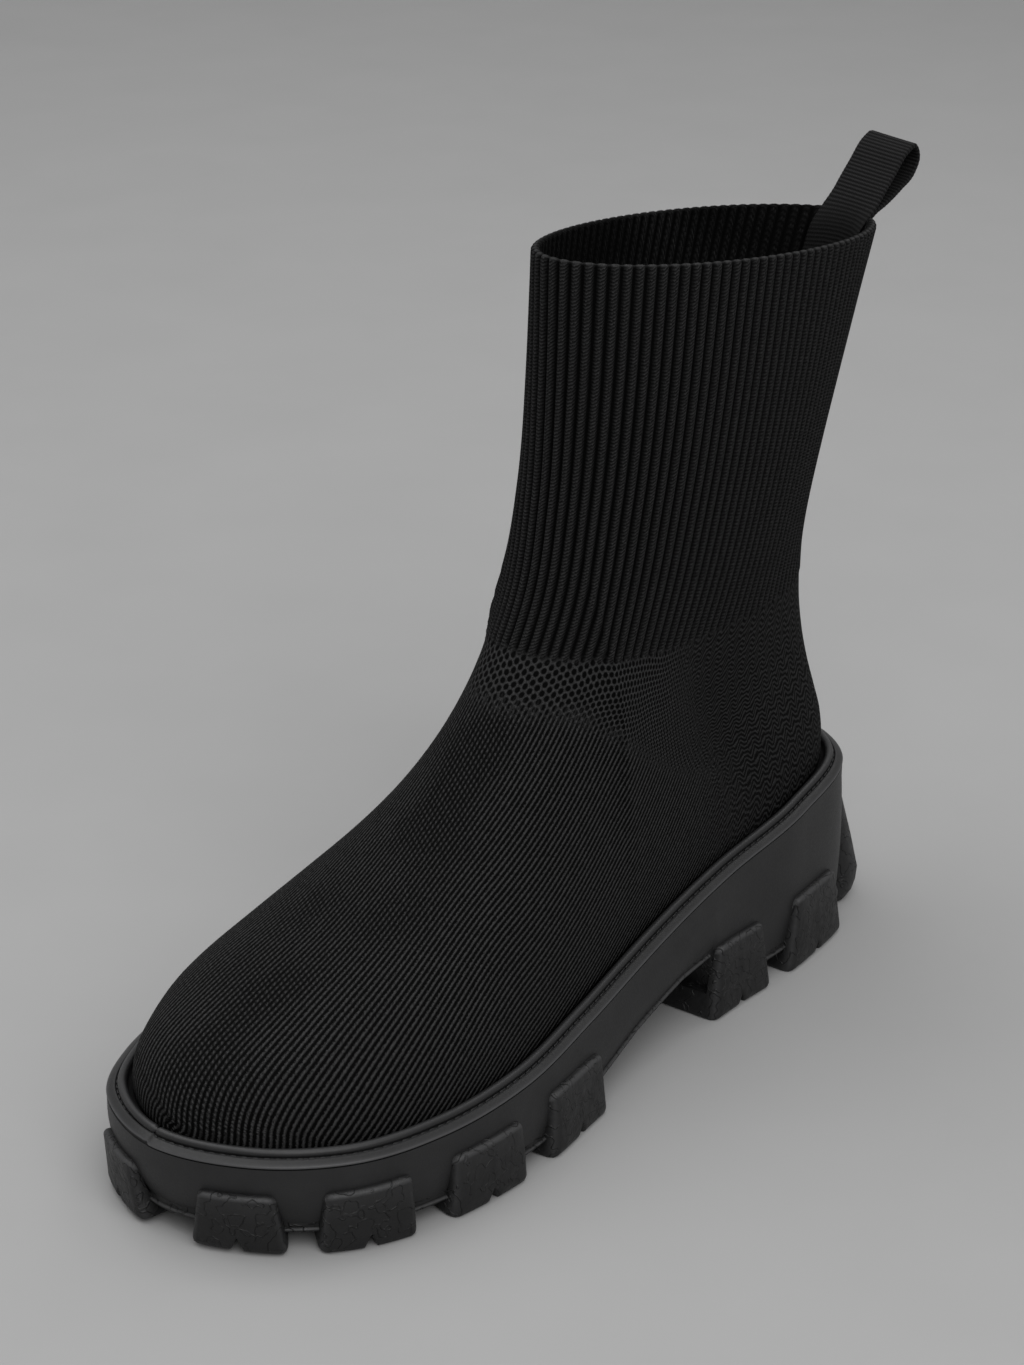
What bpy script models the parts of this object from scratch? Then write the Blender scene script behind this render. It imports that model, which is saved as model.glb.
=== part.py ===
"""Stretch boot for the left foot: a knitted sock upper on a lugged platform sole. Sizes in millimetres."""

import bmesh
import bpy
import numpy as np

MM = 0.001

# The frame: middle of the whole boot in plan, floor at zero
FRAME_X = 119.4
FRAME_Y = -0.5

# Wall of the knit, gap between neighbouring pieces, and how far the platform stands out from the upper
KNIT = 2.2
GAP = 0.35
REACH = 7.0

# Platform: the strip under the upper, the belly of the side wall, the tread plate
STRIP_DROP = 5.2
BELLY = 0.7
PLATE = 2.2
BREAST_WALL = 2.6

# Lugs: gap to the side wall, how far they run in under the sole, chamfer of their edges, notch in the middle of the foot
LUG_GAP = 0.5
LUG_RUN_IN = 14.0
LUG_CHAMFER = 1.3
NOTCH_DEEP = 3.2
NOTCH_HALF = 1.7

# Insole
INSOLE_TOP = 1.0

# Pull loop of webbing: half width, middle off the centre line, how its free end skews and tilts, thickness
WEB_HALF_WIDTH = 9.2
WEB_MIDDLE = 1.0
WEB_SKEW = 2.4
WEB_TILT = -0.09
WEB_THICK = 1.5

# How finely the curves are cut: steps along half the plan, steps round half a ring of the upper
PLAN_STEPS = 34
RING_STEPS = 26

# Plan of the upper at the sole: station, distance from the heel, lateral and medial half width
PLAN = [
    ("heel_back", 4.0, 0.0, 0.0),
    ("heel_corner", 11.5, 18.5, 18.5),
    ("heel", 42.0, 27.5, 27.0),
    ("shank", 80.0, 29.0, 25.0),
    ("waist", 118.0, 32.5, 26.0),
    ("joint", 155.0, 38.5, 33.5),
    ("ball", 188.0, 44.0, 43.5),
    ("toes", 218.0, 43.0, 45.0),
    ("toe_side", 243.0, 35.5, 37.5),
    ("toe_corner", 260.0, 20.5, 25.5),
    ("toe_tip", 269.0, -2.5, 2.5),
]

# Side view of the sole: station, distance from the heel, height of the upper's edge
PITCH = [
    ("heel_back", -4.0, 57.0),
    ("heel_corner", 14.0, 53.8),
    ("heel", 40.0, 50.0),
    ("shank", 90.0, 42.0),
    ("waist", 130.0, 34.3),
    ("joint", 155.0, 30.3),
    ("ball", 185.0, 27.4),
    ("toes", 225.0, 26.0),
    ("toe_tip", 277.0, 28.0),
]

# Underside between the lugs: station, distance from the heel, height, undercut of the side wall
UNDERSIDE = [
    ("heel_back", -4.0, 7.0, 0.0),
    ("heel", 60.0, 7.0, 0.0),
    ("breast_foot", 86.5, 7.0, 0.0),
    ("breast_top", 89.5, 20.5, 0.0),
    ("arch", 104.0, 19.5, 0.0),
    ("waist", 130.0, 14.3, 0.0),
    ("joint", 152.0, 8.2, 0.0),
    ("ball", 176.0, 5.2, 0.0),
    ("toes", 225.0, 5.2, 1.0),
    ("toe_side", 255.0, 5.8, 2.8),
    ("toe_tip", 277.0, 7.2, 4.5),
]

# Toe spring of the lugs: distance from the heel, lift of the foot of a lug
SPRING = [
    ("flat_end", 232.0, 0.0),
    ("toe_side", 255.0, 0.6),
    ("toe_tip", 281.0, 2.0),
]

# Rings of the upper from the sole to the collar: share of the way up, front and back point of the
# centre line in side view, share of the shaft's oval in the ring, half width of that oval
RINGS = [
    ("edge", 0.00, 269.0, 27.5, 4.0, 55.6, 0.00, 30.0),
    ("wall", 0.06, 268.5, 36.0, 4.2, 63.0, 0.00, 30.0),
    ("toe_top", 0.16, 259.5, 47.5, 6.0, 72.0, 0.00, 30.0),
    ("toe_back", 0.26, 236.0, 57.0, 9.5, 81.0, 0.00, 30.0),
    ("vamp", 0.36, 205.0, 68.5, 13.0, 91.0, 0.05, 30.0),
    ("throat", 0.46, 172.5, 87.5, 15.5, 102.0, 0.15, 30.0),
    ("instep", 0.56, 147.5, 109.5, 16.0, 115.0, 0.40, 30.0),
    ("rib_edge", 0.66, 131.5, 134.0, 14.0, 133.0, 0.75, 30.0),
    ("shin", 0.78, 124.5, 163.0, 6.0, 158.0, 0.95, 30.0),
    ("calf", 0.90, 122.0, 197.0, -6.5, 190.0, 1.00, 30.0),
    ("collar", 1.00, 121.5, 231.0, -18.0, 215.5, 1.00, 29.5),
]

# Lugs: name, sides, middle along the platform's edge from the heel, length at the foot and at the top,
# height, how far the face stands out at the top and low down, rounding of the face towards the floor
LUGS = [
    ("heel_back_lug", "back", 0.0, 50.0, 38.0, 36.0, 4.0, 8.5, 4.5),
    ("heel_side_lug", "pair", 54.0, 33.0, 23.0, 23.0, 2.2, 4.0, 1.6),
    ("breast_lug", "pair", 95.0, 27.0, 21.0, 23.0, 2.2, 4.0, 1.6),
    ("joint_lug", "pair", 186.0, 30.0, 23.0, 19.5, 2.2, 4.0, 1.6),
    ("ball_lug", "pair", 226.0, 28.0, 22.0, 18.5, 2.2, 4.0, 1.6),
    ("toe_side_lug", "pair", 264.0, 27.0, 21.0, 18.5, 2.2, 4.0, 1.6),
    ("toe_lug", "pair", 301.0, 28.0, 21.0, 18.5, 2.2, 4.0, 1.6),
]

# Section of the strip between upper and platform: distance out from the upper's edge, height over it
STRIP = [
    ("inner_foot", -1.8, -5.2),
    ("inner_top", -1.8, -0.35),
    ("corner", 0.8, -0.35),
    ("bead_inside", 0.85, 1.6),
    ("bead_shoulder", 1.4, 3.4),
    ("bead_top", 2.5, 4.4),
    ("bead_crown", 3.7, 4.1),
    ("bead_outside", 4.7, 2.8),
    ("bead_foot", 5.0, 1.2),
    ("groove", 5.2, 0.3),
    ("ledge", 5.7, 0.5),
    ("ledge_edge", 7.7, -3.2),
    ("lip", 7.9, -4.4),
    ("outer_foot", 7.4, -5.2),
]

# Middle line of the webbing in side view: along from the back of the collar's inside, up
LOOP = [
    ("front_end", 5.6, 190.0),
    ("front_low", 0.0, 203.0),
    ("front_mouth", -4.6, 213.6),
    ("front_rise", -12.0, 222.8),
    ("front_top", -22.5, 230.6),
    ("turn_front", -30.5, 235.0),
    ("turn", -36.0, 234.4),
    ("turn_back", -37.4, 229.8),
    ("back_top", -32.5, 225.8),
    ("back_rise", -23.0, 222.9),
    ("back_mouth", -12.0, 219.8),
    ("back_bend", -6.6, 213.0),
    ("back_low", -2.0, 203.0),
    ("back_end", 3.6, 190.0),
]


def column(table, place):
    return np.array([row[place] for row in table], float)


def smooth(xs, ys, at):
    """Cubic curve through the points of a table, read at the given places."""
    xs = np.asarray(xs, float)
    ys = np.asarray(ys, float)
    at = np.clip(np.asarray(at, float), xs[0], xs[-1])
    slope = np.gradient(ys, xs, axis=0)
    k = np.clip(np.searchsorted(xs, at, side="right") - 1, 0, len(xs) - 2)
    h = xs[k + 1] - xs[k]
    t = (at - xs[k]) / h
    if ys.ndim > 1:
        t = t[..., None]
        h = h[..., None]
    near = (1 + 2 * t) * (1 - t) ** 2 * ys[k] + t * (1 - t) ** 2 * h * slope[k]
    far = t * t * (3 - 2 * t) * ys[k + 1] + t * t * (t - 1) * h * slope[k + 1]
    return near + far


def plan_loop():
    """Knots and points of the closed curve through the plan's stations, lapped at its ends."""
    x, lateral, medial = column(PLAN, 1), column(PLAN, 2), column(PLAN, 3)
    mean = (lateral + medial) / 2
    knots = np.r_[0, np.cumsum(np.hypot(np.diff(x), np.diff(mean)) ** 0.75)]
    total = 2 * knots[-1]
    loop_knots = np.r_[knots[:-1], total - knots[::-1][:-1]]
    loop_points = np.r_[np.c_[x, lateral][:-1], np.c_[x, -medial][::-1][:-1]]
    lapped_knots = np.r_[loop_knots[-3:] - total, loop_knots, loop_knots[:4] + total]
    lapped_points = np.r_[loop_points[-3:], loop_points, loop_points[:4]]
    return lapped_knots, lapped_points, knots[-1]


def half_plan(steps, stops=()):
    """Lateral and medial edge of the upper from heel to toe, in pairs that share their x."""
    knots, points, half = plan_loop()
    fine = np.linspace(0, half, 2001)
    lateral = smooth(knots, points, fine)
    medial = smooth(knots, points, 2 * half - fine)
    middle = (lateral + medial * [1, -1]) / 2
    along = np.r_[0, np.cumsum(np.hypot(*np.diff(middle, axis=0).T))]
    at = np.interp(np.linspace(0, along[-1], steps + 1), along, fine)
    for stop in stops:
        place = np.interp(stop, lateral[:, 0], fine)
        at[np.argmin(np.abs(at[1:-1] - place)) + 1] = place
    return smooth(knots, points, at), smooth(knots, points, 2 * half - at)


def outward(points):
    """Unit normals of a closed plan, pointing out."""
    along = np.roll(points, -1, axis=0) - np.roll(points, 1, axis=0)
    along /= np.linalg.norm(along, axis=1)[:, None]
    return np.c_[-along[:, 1], along[:, 0]]


def closed_plan(steps, stops=()):
    """Edge of the upper as one closed loop: heel, lateral side, toe, medial side; and its normals."""
    lateral, medial = half_plan(steps, stops)
    loop = np.r_[lateral, medial[::-1][1:-1]]
    return loop, outward(loop)


def edge_height(x):
    return smooth(column(PITCH, 1), column(PITCH, 2), x)


def underside_height(x):
    return np.interp(x, column(UNDERSIDE, 1), column(UNDERSIDE, 2))


def undercut(x):
    return np.interp(x, column(UNDERSIDE, 1), column(UNDERSIDE, 3))


def wall_reach(x, up):
    """How far the platform's side wall stands out, at a share of its height."""
    return REACH - undercut(x) * (1 - up) + BELLY * 4 * up * (1 - up)


FINE_LATERAL, FINE_MEDIAL = half_plan(600)
FRONT = np.c_[column(RINGS, 2), column(RINGS, 3)]
BACK = np.c_[column(RINGS, 4), column(RINGS, 5)]
OVAL = np.c_[column(RINGS, 6), column(RINGS, 7)]
CREST = smooth(column(RINGS, 1), FRONT, np.linspace(0, 1, 801))[::-1]


def crown(x):
    """Powers that round the top of the foot: fuller at the toe, steeper at the instep."""
    toe = np.clip((x - 120.0) / 110.0, 0, 1)
    return 1.7 + 0.7 * toe, 1.8 + 0.5 * toe


def upper_ring(up, steps):
    """One closed ring of the upper at a share of the way from the sole to the collar."""
    front = smooth(column(RINGS, 1), FRONT, up)
    back = smooth(column(RINGS, 1), BACK, up)
    share, half = smooth(column(RINGS, 1), OVAL, up)
    share = np.clip(share, 0, 1)
    along = (1 - np.cos(np.linspace(0, np.pi, steps + 1))) / 2
    x = back[0] + (front[0] - back[0]) * along
    foot_x = BACK[0, 0] + (FRONT[0, 0] - BACK[0, 0]) * along
    sag = edge_height(foot_x) - (BACK[0, 1] + (FRONT[0, 1] - BACK[0, 1]) * along)
    sag -= sag[0] * (1 - along) + sag[-1] * along
    z = back[1] + (front[1] - back[1]) * along + sag * np.clip(1 - up / 0.4, 0, 1) ** 1.5
    over = z - edge_height(x)
    crest = np.interp(x, CREST[:, 0], CREST[:, 1]) - edge_height(x)
    rise = np.clip(over / np.maximum(crest, 1.0), 0, 1) if up > 0 else np.zeros(len(x))
    rise_power, close_power = crown(x)
    closing = (1 - rise**rise_power) ** (1 / close_power)
    closing *= 1 + 0.03 * np.clip(over / 18.0, 0, 1) * (1 - up)
    shifted = x - (back[0] - BACK[0, 0]) * (1 - along)
    oval = half * np.sqrt(np.clip(1 - (2 * along - 1) ** 2, 0, 1))
    lateral = (1 - share) * np.interp(shifted, FINE_LATERAL[:, 0], FINE_LATERAL[:, 1]) * closing
    medial = (1 - share) * np.interp(shifted, FINE_MEDIAL[:, 0], -FINE_MEDIAL[:, 1]) * closing
    lateral_side = np.c_[x, lateral + share * oval, z]
    medial_side = np.c_[x, -medial - share * oval, z]
    tip = (lateral_side[-1] + medial_side[-1]) / 2
    return np.r_[lateral_side[:-1], [tip], medial_side[::-1][1:-1]]


def strips(rows, around, close_rows):
    """Faces between neighbouring closed rings of the same number of points."""
    faces = []
    for row in range(rows if close_rows else rows - 1):
        after = (row + 1) % rows
        for k in range(around):
            turn = (k + 1) % around
            faces.append((row * around + k, row * around + turn, after * around + turn, after * around + k))
    return faces


def rungs(first, around):
    """Faces across a closed loop, between its lateral and medial points."""
    faces = []
    for k in range(around // 2):
        corners = [k, k + 1, around - k - 1, (around - k) % around]
        faces.append([first + c for c in dict.fromkeys(corners)])
    return faces


def new_object(name, points, faces, collection):
    mesh = bpy.data.meshes.new(name)
    placed = (np.asarray(points, float) - [FRAME_X, FRAME_Y, 0.0]) * MM
    mesh.from_pydata(placed.tolist(), [], faces)
    shape = bmesh.new()
    shape.from_mesh(mesh)
    bmesh.ops.recalc_face_normals(shape, faces=shape.faces)
    shape.to_mesh(mesh)
    shape.free()
    obj = bpy.data.objects.new(name, mesh)
    collection.objects.link(obj)
    return obj


def new_material(name, colour, roughness):
    material = bpy.data.materials.new(name)
    material.use_nodes = True
    shader = material.node_tree.nodes["Principled BSDF"]
    shader.inputs["Base Color"].default_value = (*colour, 1.0)
    shader.inputs["Roughness"].default_value = roughness
    material.diffuse_color = (*colour, 1.0)
    return material


def loft(name, rings, collection, caps):
    """Solid or open skin through closed rings; caps closes both ends with rungs."""
    around = len(rings[0])
    faces = strips(len(rings), around, False)
    if caps:
        faces += rungs(0, around) + rungs((len(rings) - 1) * around, around)
    return new_object(name, np.concatenate(rings), faces, collection)


def make_upper(collection):
    ups = np.r_[np.linspace(0, 0.16, 5), np.linspace(0.205, 0.66, 11), np.linspace(0.72, 1, 6)]
    rings = [upper_ring(up, RING_STEPS) for up in ups]
    obj = loft("upper", rings, collection, False)
    wall = obj.modifiers.new("knit_wall", "SOLIDIFY")
    wall.thickness = KNIT * MM
    wall.offset = -1.0
    wall.use_even_offset = True
    wall.use_rim = True
    return obj


def make_strip(collection):
    """The bead and stitched ledge round the upper, one section carried round the edge."""
    loop, normals = closed_plan(PLAN_STEPS)
    rings = []
    for _, out, up in STRIP:
        spread = loop + normals * out
        rings.append(np.c_[spread, edge_height(loop[:, 0]) + up])
    faces = strips(len(rings), len(loop), True)
    return new_object("welt", np.concatenate(rings), faces, collection)


BREAST = (84.0, 86.5, 89.5)


def make_midsole(collection):
    loop, normals = closed_plan(PLAN_STEPS + 2, BREAST)
    x = loop[:, 0]
    low = underside_height(x + BREAST_WALL) + PLATE + GAP
    high = edge_height(x) - STRIP_DROP - GAP
    rings = []
    for up in (0.0, 0.25, 0.5, 0.75, 1.0):
        spread = loop + normals * wall_reach(x, up)[:, None]
        rings.append(np.c_[spread, low + (high - low) * up])
    return loft("midsole", rings, collection, True)


def make_plate(collection):
    loop, normals = closed_plan(PLAN_STEPS + 2, BREAST)
    x = loop[:, 0]
    spread = loop + normals * wall_reach(x, 0.0)[:, None]
    low = np.c_[spread, underside_height(x)]
    high = np.c_[spread, underside_height(x + BREAST_WALL) + PLATE]
    return loft("outsole", [low, high], collection, True)


def edge_track():
    """Fine closed track of the platform's edge with its normals and distances from the heel."""
    loop, normals = closed_plan(360)
    track = loop + normals * REACH
    lengths = np.hypot(*(np.roll(track, -1, axis=0) - track).T)
    along = np.r_[0, np.cumsum(lengths)]
    return np.r_[loop, loop[:1]], np.r_[normals, normals[:1]], along


def on_track(track, along):
    loop, normals, lengths = track
    along = np.mod(along, lengths[-1])
    point = [np.interp(along, lengths, loop[:, 0]), np.interp(along, lengths, loop[:, 1])]
    normal = [np.interp(along, lengths, normals[:, 0]), np.interp(along, lengths, normals[:, 1])]
    return np.array(point), np.array(normal)


def make_lug(name, track, middle, foot, top, height, out_top, out_low, round_foot, collection):
    """One lug: a section standing round the plate's edge, carried along it, shorter at its top."""
    notch = 2 * NOTCH_HALF / foot
    shares = (-1.0, -0.7, -0.4, -notch, 0.0, notch, 0.4, 0.7, 1.0)
    sections = []
    for share in shares:
        def corner(out, z, from_wall=True):
            grow = np.clip(z / height, 0, 1)
            length = foot / 2 + (top - foot) / 2 * grow
            point, normal = on_track(track, middle + share * length)
            if from_wall:
                low = underside_height(point[0])
                wall_height = max(edge_height(point[0]) - STRIP_DROP - low, 1.0)
                out = out + wall_reach(point[0], np.clip((z - low) / wall_height, 0, 1))
            return [*(point + normal * out), z]

        point, _ = on_track(track, middle + share * foot / 2)
        floor = np.interp(point[0], column(SPRING, 1), column(SPRING, 2))
        floor = floor + (NOTCH_DEEP if share == 0.0 else 0.0)
        seat = underside_height(point[0]) + 1.0
        if middle and point[0] > BREAST[0] and point[0] < BREAST[2] + 8.0:
            seat = underside_height(0.0) + 1.0
        sections.append([
            corner(-LUG_RUN_IN, floor, False),
            corner(out_low - round_foot, floor),
            corner(out_low - 0.3 * round_foot, floor + 0.7 * round_foot),
            corner(out_low, floor + 2 * round_foot),
            corner(out_top, height - LUG_CHAMFER),
            corner(out_top - LUG_CHAMFER, height),
            corner(LUG_GAP, height),
            corner(LUG_GAP, (height + seat) / 2),
            corner(LUG_GAP, seat),
            corner(-LUG_RUN_IN, seat, False),
        ])
    around = len(sections[0])
    faces = strips(len(sections), around, False)
    last = (len(sections) - 1) * around
    faces.append(list(range(around)))
    faces.append([last + k for k in range(around)])
    return new_object(name, np.concatenate(sections), faces, collection)


def make_outsole(collection, cutters):
    plate = make_plate(collection)
    track = edge_track()
    whole = track[2][-1]
    for name, sides, middle, foot, top, height, out_top, out_low, round_foot in LUGS:
        places = [("", middle)] if sides == "back" else [("_lateral", middle), ("_medial", whole - middle)]
        for side, place in places:
            make_lug(name + side, track, place, foot, top, height, out_top, out_low, round_foot, cutters)
    union = plate.modifiers.new("lugs", "BOOLEAN")
    union.operation = "UNION"
    union.solver = "EXACT"
    union.operand_type = "COLLECTION"
    union.collection = cutters
    return plate


def make_insole(collection):
    loop, normals = closed_plan(PLAN_STEPS)
    spread = loop - normals * (KNIT + 2 * GAP)
    height = edge_height(loop[:, 0])
    low = np.c_[spread, height - STRIP_DROP]
    high = np.c_[spread, height + INSOLE_TOP]
    return loft("insole", [low, high], collection, True)


def make_loop(collection):
    """Folded webbing: its section carried along a bent middle line."""
    knots = np.r_[0, np.cumsum(np.hypot(np.diff(column(LOOP, 1)), np.diff(column(LOOP, 2))))]
    line = smooth(knots, np.c_[column(LOOP, 1), column(LOOP, 2)], np.linspace(0, knots[-1], 33))
    along = np.gradient(line, axis=0)
    along /= np.linalg.norm(along, axis=1)[:, None]
    across = np.c_[-along[:, 1], along[:, 0]] * WEB_THICK / 2
    free = np.clip((line[:, 1] - 218.0) / 12.0, 0, 1)
    sections = []
    for point, step, loose in zip(line, across, free):
        section = []
        for side, face in ((-1, -1), (1, -1), (1, 1), (-1, 1)):
            y = side * WEB_HALF_WIDTH
            lift = WEB_TILT * y * loose
            middle = WEB_MIDDLE + WEB_SKEW * loose
            section.append([point[0] + face * step[0], middle + y, point[1] + face * step[1] + lift])
        sections.append(section)
    faces = strips(len(sections), 4, False)
    last = (len(sections) - 1) * 4
    faces.append([0, 1, 2, 3])
    faces.append([last, last + 1, last + 2, last + 3])
    return new_object("pull_loop", np.concatenate(sections), faces, collection)


def main():
    for obj in list(bpy.data.objects):
        bpy.data.objects.remove(obj, do_unlink=True)
    boot = bpy.data.collections.new("stretch_boot")
    cutters = bpy.data.collections.new("lug_blanks")
    bpy.context.scene.collection.children.link(boot)
    bpy.context.scene.collection.children.link(cutters)
    knit = new_material("black_knit", (0.012, 0.012, 0.013), 0.9)
    rubber = new_material("dark_rubber", (0.028, 0.028, 0.030), 0.6)
    tread = new_material("tread_rubber", (0.024, 0.024, 0.026), 0.65)
    foam = new_material("insole_cloth", (0.015, 0.015, 0.016), 0.9)
    webbing = new_material("black_webbing", (0.014, 0.014, 0.015), 0.8)
    for obj, material in (
        (make_upper(boot), knit),
        (make_strip(boot), rubber),
        (make_midsole(boot), rubber),
        (make_outsole(boot, cutters), tread),
        (make_insole(boot), foam),
        (make_loop(boot), webbing),
    ):
        obj.data.materials.append(material)
    for obj in cutters.objects:
        obj.hide_render = True
        obj.display_type = "WIRE"


main()
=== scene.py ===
"""Looks of the stretch boot: knit upper, stitched welt, lugged platform, pull loop. Sizes in millimetres."""

import math

import bmesh
import bpy
import numpy as np
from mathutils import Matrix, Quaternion, Vector


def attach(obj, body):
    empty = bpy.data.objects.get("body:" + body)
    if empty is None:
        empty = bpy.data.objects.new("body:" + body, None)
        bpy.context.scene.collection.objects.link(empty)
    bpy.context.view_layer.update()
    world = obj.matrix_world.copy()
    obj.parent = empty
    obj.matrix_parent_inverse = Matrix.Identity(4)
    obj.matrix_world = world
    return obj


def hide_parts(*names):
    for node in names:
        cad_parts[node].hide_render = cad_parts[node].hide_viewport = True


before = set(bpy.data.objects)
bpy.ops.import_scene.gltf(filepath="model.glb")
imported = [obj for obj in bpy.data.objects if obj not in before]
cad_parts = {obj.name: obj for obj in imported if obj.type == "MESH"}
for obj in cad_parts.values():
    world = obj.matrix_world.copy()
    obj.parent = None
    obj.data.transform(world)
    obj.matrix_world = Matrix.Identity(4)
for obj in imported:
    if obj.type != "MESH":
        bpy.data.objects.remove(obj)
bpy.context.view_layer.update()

MM = 0.001

# The frame: middle of the whole boot in plan, floor at zero
ORIGIN = np.array([119.4, -0.5, 0.0])

# Knit wall, gap between pieces, reach of the platform, drop of the welt, belly of the side wall
KNIT = 2.2
GAP = 0.35
REACH = 7.0
STRIP_DROP = 5.2
BELLY = 0.7

# Tread plate, its lip under the side wall, and the heel breast
PLATE = 2.2
PLATE_LIP = 0.75
BREAST_WALL = 2.6
BREAST = (84.0, 86.5, 89.5)

# Lugs: run under the sole, seat inside the side wall and above the underside, notch in the foot
LUG_RUN_IN = 14.0
LUG_SEAT = 0.4
LUG_SUNK = 1.0
NOTCH_DEEP = 3.4
NOTCH_HALF = 1.9

# A lug that stands out by 4 mm: rounding of its ends, corners, top edge and foot; painted highlights on ends
# and top
LUG_OUT = 4.0
END_ROUND = 2.6
CORNER_ROUND = 2.4
TOP_ROUND = 1.5
FOOT_ROUND = 1.6
FOOT_STRETCH = 1.6
LUG_END_HIGHLIGHT = 0.5
LUG_END_HIGHLIGHT_AT = 0.35
LUG_TOP_HIGHLIGHT = [0.2, 0.7, 1.0, 0.7, 0.2]

# How far past the breast a lug still hangs from the heel block
BREAST_CLEAR = 12.0

# Ribs of the shaft: number on each half, points for each; the rim's roll, dips, and painted highlight on it
# from outside in
RIBS = 45
RIB_POINTS = 7
HALF = RIBS * RIB_POINTS
RIM = KNIT / 2
RIM_DIP = 0.25
RIM_HIGHLIGHT = (0.4, 1.0, 1.0, 1.0, 0.5)

# Knit: pitch of the wales, more at the toe, where that starts and its run, mesh cells, their half girth
WALE = 1.25
WALE_AT_TOE = 0.42
WALE_TOE_START = 175.0
WALE_TOE_RUN = 85.0
CELL_FRONT = 2.25
CELL_BACK = 1.45
CELL_GIRTH = 190.0

# Knit patterns: stitch of a wale, stripe, folds and lean of the zigzag, loop of a rib, dots of the lining
KNIT_STITCH = 1.7
ZIGZAG_STRIPE = 2.3
ZIGZAG_FOLD = 2.7
CROSS_FOLD = 1.9
CROSS_LEAN = 0.37
RIB_LOOP = 1.0
LINING_DOT = 2.6

# Softness of the borders between the knits, as shares of the way up or of the way to the front
RIB_BLUR = 0.012
HEEL_BLUR = 0.16
BAND_BLUR = 0.03

# Rows of the upper's mesh: foot, border of the ribs, shaft, rim, inner skin; places of border and top
FOOT_ROWS = 58
BORDER_ROWS = 14
SHAFT_ROWS = 34
RIM_ROWS = 6
INNER_ROWS = 38
RIB_BORDER = (0.56, 0.64)
SHAFT_TOP = (0.985, 0.993, 1.0)

# Steps of the closed plan: welt, stitches, side wall, footbed, track of the lugs
WELT_STEPS = 640
STITCH_STEPS = 700
WALL_STEPS = 220
FOOTBED_STEPS = 120
TRACK_STEPS = 360

# Unevenness of the knit: length of its broad patches, of its drift, number of waves in each
PATCH_WAVE = 32.0
DRIFT_WAVE = 12.0
NOISE_WAVES = 8

# Pull loop: half width, middle, turn and tilt of its free end, height where it comes free, thickness, ribs
WEB_HALF_WIDTH = 9.2
WEB_MIDDLE = 1.0
WEB_YAW = 0.15
WEB_TILT = -0.03
WEB_FREE = (212.0, 222.0)
WEB_THICK = 1.5
WEB_PITCH = 1.25
WEB_RIB = 0.16

# Half length and half width of the shaft's inside, which the sewn ends of the loop follow
SHAFT_LONG = 70.0
SHAFT_WIDE = 27.0

# Rubber: painted highlight on its edges, in multiples of its colour, brightest level its colours reach,
# colours
EDGE_HIGHLIGHT = 4.0
BRIGHTEST = 6.0
LUG_COLOUR = (0.0112, 0.0112, 0.0115)
SIDE_COLOUR = (0.0155, 0.0155, 0.016)
WELT_COLOUR = (0.0145, 0.0145, 0.015)

# Darkest and lightest colour of the yarns, cloth, thread and floor
KNIT_COLOURS = ((0.0004, 0.0004, 0.0004), (0.052, 0.052, 0.0525))
WEB_COLOURS = ((0.0008, 0.0008, 0.0008), (0.026, 0.026, 0.0265))
CLOTH_COLOURS = ((0.004, 0.004, 0.004), (0.016, 0.016, 0.0165))
THREAD_COLOURS = ((0.006, 0.006, 0.006), (0.024, 0.024, 0.025))
FLOOR_COLOURS = ((0.44, 0.44, 0.44), (0.47, 0.47, 0.47))

# Joint of the welt's ends at the toe: place on the edge, width and depth of the cut, step and run behind it
JOINT_SHARE = 0.5012
JOINT_HALF = 0.42
JOINT_DEEP = 0.75
JOINT_STEP = 0.8
JOINT_RUN = 24.0

# Stitches in the welt's groove: pitch, length, radius, distance out from the upper's edge, height over it
STITCH_PITCH = 2.9
STITCH_LENGTH = 1.9
STITCH_RADIUS = 0.36
STITCH_OUT = 4.15
STITCH_UP = 0.7

# Camera: place, direction, middle and focal length of the photo and the boot's middle in pixels, lens, roll
CAMERA_AT = (766.5, 540.2, 480.5)
CAMERA_AZIMUTH = 43.9
CAMERA_ELEVATION = 22.6
PHOTO_MIDDLE = (512.0, 682.5)
PHOTO_FOCAL = 2436.0
BOOT_MIDDLE = (641.0, 737.8)
LENS = 86.1
SENSOR = 36.0
CAMERA_ROLL = 0.57

# Studio: half size of the floor, level of the world, and the lights with their place, target, size and power
FLOOR_HALF = 8.0
WORLD_LEVEL = 0.34
LIGHTS = [
    ("key", (0.25, -0.6, 1.8), (0.0, 0.0, 0.08), 2.0, 13.0),
    ("fill", (0.7, 1.15, 1.4), (0.15, 0.25, 0.0), 1.8, 15.0),
    ("rim", (-0.9, 0.0, 1.3), (0.0, 0.0, 0.12), 0.9, 2.0),
]

# Plan of the upper at the sole: station, distance from the heel, lateral and medial half width
PLAN = [
    ("heel_back", 4.0, 0.0, 0.0),
    ("heel_corner", 11.5, 18.5, 18.5),
    ("heel", 42.0, 27.5, 27.0),
    ("shank", 80.0, 29.0, 25.0),
    ("waist", 118.0, 32.5, 26.0),
    ("joint", 155.0, 38.5, 33.5),
    ("ball", 188.0, 44.0, 43.5),
    ("toes", 218.0, 43.0, 45.0),
    ("toe_side", 243.0, 35.5, 37.5),
    ("toe_corner", 260.0, 20.5, 25.5),
    ("toe_tip", 269.0, -2.5, 2.5),
]

# Side view of the sole: station, distance from the heel, height of the upper's edge
PITCH = [
    ("heel_back", -4.0, 57.0),
    ("heel_corner", 14.0, 53.8),
    ("heel", 40.0, 50.0),
    ("shank", 90.0, 42.0),
    ("waist", 130.0, 34.3),
    ("joint", 155.0, 30.3),
    ("ball", 185.0, 27.4),
    ("toes", 225.0, 26.0),
    ("toe_tip", 277.0, 28.0),
]

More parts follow.
